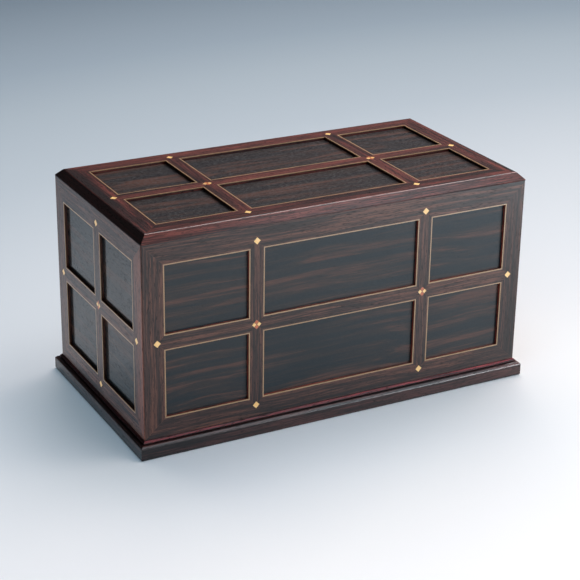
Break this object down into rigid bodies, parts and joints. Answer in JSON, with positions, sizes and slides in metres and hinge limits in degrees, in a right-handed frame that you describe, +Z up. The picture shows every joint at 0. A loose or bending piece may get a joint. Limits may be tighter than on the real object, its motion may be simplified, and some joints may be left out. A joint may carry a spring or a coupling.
{
  "type": "inlaid wooden box",
  "caption": "Dark wooden box with recessed panels, pale inlay lines and diamonds; its full-height cover lifts straight up off a low stepped base that carries an inner box.",
  "frame": {"origin": "middle of the base's underside, on the surface that the box stands on", "axes": "+Z up, +X along the long side, the long front towards -Y"},
  "size_m": [0.3086, 0.1644, 0.1593],
  "materials": {
    "frame_wood": "satin lacquer over dark red-brown rosewood",
    "panel_wood": "satin lacquer over streaked near-black ebony",
    "base_wood": "satin lacquer over dark red-brown rosewood",
    "seat_wood": "satin lacquer over red sandalwood",
    "pale_inlay": "satin boxwood",
    "red_inlay": "satin red-orange wood",
    "spline_wood": "plain, hidden in the joints"
  },
  "bodies": {
    "base": {"base_long_rails": "base_wood", "base_short_rails": "base_wood", "base_splines": "spline_wood", "seat_long_strips": "seat_wood", "seat_short_strips": "seat_wood", "bottom_board": "base_wood", "inner_long_walls": "base_wood", "inner_short_walls": "base_wood", "inner_splines": "spline_wood"},
    "cover": {"front_rails": "frame_wood", "front_stiles": "frame_wood", "front_long_bar": "frame_wood", "front_short_bars": "frame_wood", "front_panels": "panel_wood", "front_lines": "pale_inlay", "front_diamonds": "pale_inlay", "front_cross_pale": "pale_inlay", "front_cross_red": "red_inlay", "back_rails": "frame_wood", "back_stiles": "frame_wood", "back_long_bar": "frame_wood", "back_short_bars": "frame_wood", "back_panels": "panel_wood", "back_lines": "pale_inlay", "back_diamonds": "pale_inlay", "back_cross_pale": "pale_inlay", "back_cross_red": "red_inlay", "left_rails": "frame_wood", "left_stiles": "frame_wood", "left_long_bar": "frame_wood", "left_short_bars": "frame_wood", "left_panels": "panel_wood", "left_lines": "pale_inlay", "left_diamonds": "pale_inlay", "left_cross_pale": "pale_inlay", "left_cross_red": "red_inlay", "right_rails": "frame_wood", "right_stiles": "frame_wood", "right_long_bar": "frame_wood", "right_short_bars": "frame_wood", "right_panels": "panel_wood", "right_lines": "pale_inlay", "right_diamonds": "pale_inlay", "right_cross_pale": "pale_inlay", "right_cross_red": "red_inlay", "top_long_rails": "frame_wood", "top_short_rails": "frame_wood", "top_long_bar": "frame_wood", "top_short_bars": "frame_wood", "top_panels": "panel_wood", "top_lines": "pale_inlay", "top_diamonds": "pale_inlay", "top_cross_pale": "pale_inlay", "top_cross_red": "red_inlay", "cover_splines": "spline_wood"}
  },
  "joints": [
    {"name": "cover_lift", "type": "slide", "parent": "base", "child": "cover", "axis": [0, 0, 1], "range_m": [0, 0.12]}
  ]
}
